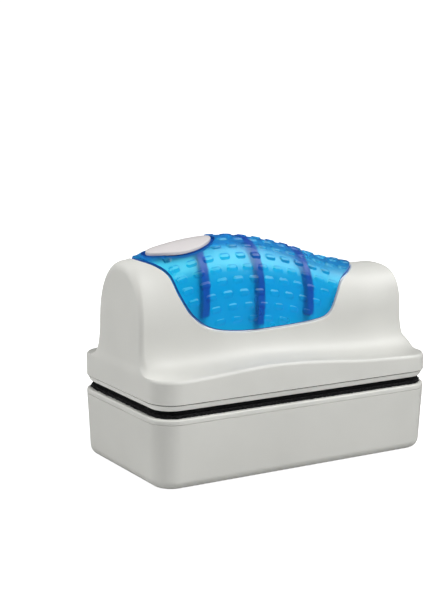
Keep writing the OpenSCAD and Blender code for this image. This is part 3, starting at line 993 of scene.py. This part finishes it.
def plated_metal(name, colour, rough, streaks):
    """Plated or rolled metal with faint streaks along its length."""
    material, tree, shader = new_material(name)
    grain = object_noise(tree, streaks, 4, 0.6, stretch=(0.08, 1, 1))
    dark = tuple(0.82 * c for c in colour)
    tree.links.new(ramp(tree, grain, [(0.3, dark), (0.7, colour)]), shader.inputs["Base Color"])
    tree.links.new(spread(tree, grain, rough - 0.05, rough + 0.1), shader.inputs["Roughness"])
    shader.inputs["Metallic"].default_value = 1.0
    bump(tree, shader, grain, 0.00001)
    return material


def cell_foam(name, colour, cell):
    """Closed-cell foam with small pits, cell in metres."""
    material, tree, shader = new_material(name)
    place = tree.nodes.new("ShaderNodeTexCoord")
    cells = tree.nodes.new("ShaderNodeTexVoronoi")
    cells.inputs["Scale"].default_value = 1 / cell
    tree.links.new(place.outputs["Object"], cells.inputs["Vector"])
    # painted shade: darker in the middle of each cell, where the bump makes its pit
    dark = tuple(0.7 * c for c in colour)
    tint = ramp(tree, cells.outputs["Distance"], [(0.1, dark), (0.6, colour)])
    tree.links.new(tint, shader.inputs["Base Color"])
    tree.links.new(spread(tree, cells.outputs["Distance"], 0.8, 0.95), shader.inputs["Roughness"])
    bump(tree, shader, cells.outputs["Distance"], 0.2 * cell)
    return material


# ---- Pads ----

def add_loops(build, edge, outward, low, high, rng):
    """Small loops of thread that stand out all round a pad's side, one for each edge point."""
    sides = 4
    reach = rng.uniform(0.1, 0.38, len(edge))
    half = rng.uniform(0.12, 0.3, len(edge))
    height = rng.uniform(low + 0.1, high - 0.2, len(edge))
    tilt = rng.uniform(-0.9, 0.9, len(edge))
    thread_r = rng.uniform(0.05, 0.09, len(edge))
    a = np.linspace(0, math.pi, 6)
    ring = np.linspace(0, 2 * math.pi, sides, endpoint=False)
    for k in range(len(edge)):
        out = np.array([*outward[k], 0.0])
        level = math.cos(tilt[k])
        side = np.array([-out[1] * level, out[0] * level, math.sin(tilt[k])])
        up = np.cross(out, side)
        base = np.array([*edge[k], height[k]]) - 0.15 * out
        line = base + np.outer(np.sin(a) * (reach[k] + 0.15), out)
        line = line + np.outer(np.cos(a) * half[k], side)
        radial = np.outer(np.sin(a), out) + np.outer(np.cos(a), side)
        tube = line[:, None] + thread_r[k] * (
            np.cos(ring)[None, :, None] * radial[:, None] + np.sin(ring)[None, :, None] * up
        )
        numbers = build.loft(list(tube))
        build.faces.append(numbers[0][::-1].tolist())
        build.faces.append(numbers[-1].tolist())


def make_pad(name, low, high, weave, seed, loops=0):
    """A pad whose top and bottom faces lie weave(x, y, wobble) below the flat face.
    loops is how many times round its side small loops of thread are strewn."""
    step = 0.42
    nx = int((high[0] - low[0]) / step)
    ny = int((high[1] - low[1]) / step)
    r = corner_r - (half_l - high[0])
    fx = np.linspace(-1, 1, nx + 1)
    x = high[0] * fx
    reach = high[1] - pulled_in(x, high[0], r)
    y = reach[:, None] * np.linspace(-1, 1, ny + 1)[None, :]
    x = np.broadcast_to(x[:, None], y.shape)
    rng = np.random.default_rng(seed)
    wobble = rng.normal(0, 1, y.shape)
    build = Build()
    grids = []
    for z, sign in ((high[2], -1), (low[2], 1)):
        depth = weave(x, y, wobble)
        grids.append(build.points(np.stack([x, y, z + sign * depth], -1)))
        build.quads(grids[-1])
    border = grid_border(nx, ny)
    rows, cols = border.T
    top = grids[0][rows, cols]
    bottom = grids[1][rows, cols]
    edge = np.stack([x[rows, cols], y[rows, cols]], -1)
    outward = unit(edge)
    last = top
    thick = high[2] - low[2]
    unevenness = 0.05
    for share in (0.2, 0.4, 0.6, 0.8):
        bulge = unevenness * rng.normal(0, 1, len(edge))
        z = np.full(len(edge), high[2] - share * thick)
        last = build.grow(last, np.column_stack([edge + outward * bulge[:, None], z]))
    build.ring(last, bottom)
    first_loop_face = len(build.faces)
    for _ in range(loops):
        chosen = rng.random(len(edge)) < 0.55
        add_loops(build, edge[chosen], outward[chosen], low[2], high[2], rng)
    second = range(first_loop_face, len(build.faces))
    return build.finish(name, sharp=50, merge=0.0005, second=second)


def hook_weave(x, y, wobble):
    """Rows of woven loops on a 1.3 mm pitch, every other row shifted by half."""
    pitch = 1.3
    row = np.floor(y / pitch)
    px = x / pitch + 0.5 * (row % 2)
    humps = np.abs(np.sin(math.pi * px)) * np.abs(np.sin(math.pi * y / pitch))
    return 0.34 * (1 - humps**0.6) + 0.025 * np.abs(wobble)


def felt_nap(x, y, wobble):
    """The slow unevenness of pressed felt, with a fine nap."""
    return 0.05 * np.abs(wobble) + 0.04 * (1 + np.sin(x * 1.7 + 2 * np.sin(y * 0.9)))


# ---- Pieces ----

shell_white = moulded_plastic("shell_plastic", (0.65, 0.65, 0.615), 0.42)
# a lighter copy of the shell plastic: painted light that lifts the base plate's downward-sloping
# rim
base_white_painted_light = moulded_plastic("base_plastic_painted_light", (0.86, 0.86, 0.82), 0.42)
plate_white = moulded_plastic("plate_plastic", (0.66, 0.63, 0.63), 0.36, drift=0.015)
inner_white = moulded_plastic("inner_plastic", (0.66, 0.65, 0.60), 0.5)
rib_blue = moulded_plastic("rib_plastic", (0.15, 0.06, 0.4), 0.3, drift=0.08)
# deep blue for the seat and the cover's rounded edge: thicker plastic, and painted shade under the
# name plate and along the edge
seat_blue_painted_shade = moulded_plastic("seat_plastic_painted_shade", (0.004, 0.085, 0.38), 0.35)
# near-black painted shadow in the groove between the shell and the base plate
groove_painted_shadow = moulded_plastic("groove_shadow", (0.04, 0.04, 0.038), 0.6)
recess_white = moulded_plastic("recess_plastic", (0.93, 0.93, 0.93), 0.5, drift=0.01)
seal_black = moulded_plastic("seal_rubber", (0.03, 0.03, 0.032), 0.7, drift=0.2)
clear_blue = cover_plastic()
felt_black = black_fabric("felt_fabric", (0.003, 0.003, 0.0035), 0.02, 2600)
scrub_black = black_fabric("scrub_fabric", (0.004, 0.004, 0.0045), 0.05, 3400)
loop_black = black_fabric("scrub_loops", (0.012, 0.012, 0.013), 0.1, 3400)
nickel = plated_metal("magnet_plating", (0.70, 0.69, 0.66), 0.22, 900)
zinc = plated_metal("yoke_steel", (0.56, 0.57, 0.58), 0.34, 1400)
bright_steel = plated_metal("screw_steel", (0.66, 0.66, 0.66), 0.28, 2200)
grey_foam = cell_foam("foam_strip", (0.06, 0.06, 0.065), 0.0006)
white_foam = cell_foam("float_foam", (0.80, 0.80, 0.76), 0.0011)

shell = make_handle_shell()
dress(shell, "hand_half", "shell_plastic", [shell_white, recess_white], "handle_shell")
cover = make_grip_cover()
dress(cover, "hand_half", "cover_plastic", [clear_blue, seat_blue_painted_shade], "grip_cover")
dress(make_cover_ribs(), "hand_half", "cover_plastic", [rib_blue])
dress(make_name_plate(), "hand_half", "plate_plastic", [plate_white], "name_plate")
base = make_base_plate()
dress(base, "hand_half", "shell_plastic", [base_white_painted_light, groove_painted_shadow], "outer_base_plate")
dress(make_scrubber_tub(), "tank_half", "shell_plastic", [shell_white], "scrubber_tub")
dress(make_scrubber_lid(), "tank_half", "shell_plastic", [shell_white], "scrubber_lid")
felt = make_pad("felt_pad_cloth", felt_low, felt_high, felt_nap, 3)
scrub = make_pad("scrub_pad_cloth", scrub_low, scrub_high, hook_weave, 5, loops=3)
dress(felt, "hand_half", "felt_fabric", [felt_black], "felt_pad")
dress(scrub, "tank_half", "scrub_fabric", [scrub_black, loop_black], "scrub_pad")
cover.visible_shadow = False  # the lights shine straight through the clear cover

CAD_MATERIALS = {
    "lid_seal": seal_black, "float_foam": white_foam,
    "inner_magnet_left": nickel, "inner_magnet_right": nickel,
    "outer_magnet_left": nickel, "outer_magnet_right": nickel,
    "inner_yoke_plate": zinc, "outer_yoke_plate": zinc,
    "inner_magnet_foam": grey_foam, "outer_magnet_foam": grey_foam,
    "inner_magnet_clamp": inner_white, "outer_magnet_clamp": inner_white,
    "inner_clamp_screws": bright_steel, "outer_clamp_screws": bright_steel,
    "outer_base_screws": bright_steel,
}
for node, material in CAD_MATERIALS.items():
    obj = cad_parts[node]
    obj.data.materials.clear()
    obj.data.materials.append(material)


# ---- Camera, light and floor ----

def make_camera():
    """The camera in front of the object's high end, at the photograph's viewing angle."""
    place = (-0.24275, -0.37845, 0.13262)
    forward = Vector((0.50394, 0.84401, -0.18356)).normalized()
    roll = 0.005
    data = bpy.data.cameras.new("camera")
    data.sensor_width = 36
    data.lens = 86.6
    data.clip_start = 0.01
    camera = bpy.data.objects.new("camera", data)
    right = forward.cross(Vector((0, 0, 1))).normalized()
    up = right.cross(forward)
    across = right * math.cos(roll) + up * math.sin(roll)
    upright = up * math.cos(roll) - right * math.sin(roll)
    turned = Matrix((across, upright, -forward)).transposed().to_4x4()
    camera.matrix_world = Matrix.Translation(place) @ turned
    bpy.context.scene.collection.objects.link(camera)
    bpy.context.scene.camera = camera


def area_light(name, place, size, power, mirrored=False):
    """A softbox aimed at the object. A mirrored one gives only gloss, the others all but gloss."""
    data = bpy.data.lights.new(name, "AREA")
    data.shape = "RECTANGLE"
    data.size, data.size_y = size
    data.energy = power
    light = bpy.data.objects.new(name, data)
    light.visible_glossy = mirrored
    light.visible_diffuse = not mirrored
    light.visible_transmission = False
    light.location = place
    aim = Vector((0, 0, 0.04)) - Vector(place)
    light.rotation_euler = aim.to_track_quat("-Z", "Y").to_euler()
    bpy.context.scene.collection.objects.link(light)


def make_floor():
    """A pale floor that curves up far behind the object, bright as in a light tent."""
    half_width = 6.0
    near, far, bend_r, top = -3.0, 1.6, 1.2, 3.5
    turn = np.radians(np.linspace(0, 90, 25))
    path = [(near, 0.0), *zip(far + bend_r * np.sin(turn), bend_r * (1 - np.cos(turn)))]
    path.append((far + bend_r, top))
    points = [(x, y, z) for y, z in path for x in (-half_width, half_width)]
    faces = [(2 * k, 2 * k + 1, 2 * k + 3, 2 * k + 2) for k in range(len(path) - 1)]
    mesh = bpy.data.meshes.new("floor")
    mesh.from_pydata(points, [], faces)
    mesh.shade_smooth()
    floor = bpy.data.objects.new("floor", mesh)
    material, tree, shader = new_material("stage_white")
    place = tree.nodes.new("ShaderNodeTexCoord")
    reach = tree.nodes.new("ShaderNodeVectorMath")
    reach.operation = "LENGTH"
    glow = tree.nodes.new("ShaderNodeMapRange")
    set_inputs(glow, From_Min=0.1, From_Max=0.9, To_Min=0.9, To_Max=1.05)
    tree.links.new(place.outputs["Object"], reach.inputs[0])
    tree.links.new(reach.outputs["Value"], glow.inputs["Value"])
    tree.links.new(glow.outputs["Result"], shader.inputs["Emission Strength"])
    shader.inputs["Emission Color"].default_value = (1, 1, 1, 1)
    shader.inputs["Base Color"].default_value = (0.6, 0.6, 0.6, 1)
    shader.inputs["Roughness"].default_value = 0.9
    floor.data.materials.append(material)
    floor.visible_glossy = False
    floor.visible_diffuse = False
    floor.visible_shadow = False
    bpy.context.scene.collection.objects.link(floor)


def make_floor_bounce():
    """A plain sheet just under the floor, unseen, that gives the bounced light."""
    reach, z = 2, -0.0002
    corners = [(-reach, -reach, z), (reach, -reach, z), (reach, reach, z), (-reach, reach, z)]
    mesh = bpy.data.meshes.new("floor_bounce")
    mesh.from_pydata(corners, [], [(0, 1, 2, 3)])
    bounce = bpy.data.objects.new("floor_bounce", mesh)
    material, tree, shader = new_material("bounce_white")
    set_inputs(shader, Base_Color=(0.6, 0.6, 0.6, 1), Roughness=0.9)
    bounce.data.materials.append(material)
    bounce.visible_camera = False
    bounce.visible_glossy = False
    bounce.visible_transmission = False
    bpy.context.scene.collection.objects.link(bounce)


def make_world():
    world = bpy.data.worlds.new("studio")
    world.use_nodes = True
    background = world.node_tree.nodes["Background"]
    background.inputs["Color"].default_value = (1, 1, 1, 1)
    background.inputs["Strength"].default_value = 0.04
    bpy.context.scene.world = world


make_camera()
make_world()
make_floor()
make_floor_bounce()
area_light("front_softbox", (0.05, -0.50, 0.80), (0.5, 0.5), 7.0)
area_light("right_softbox", (0.60, -0.60, 0.45), (0.6, 0.6), 2.6)
area_light("left_softbox", (-0.75, 0.35, 0.25), (0.5, 0.5), 2.4)
area_light("back_softbox", (-0.45, 0.55, 0.60), (0.5, 0.5), 3.9)
area_light("gloss_card", (0.42, -0.24, 0.62), (0.6, 0.4), 3.2, mirrored=True)
bpy.context.scene.view_settings.view_transform = "Standard"
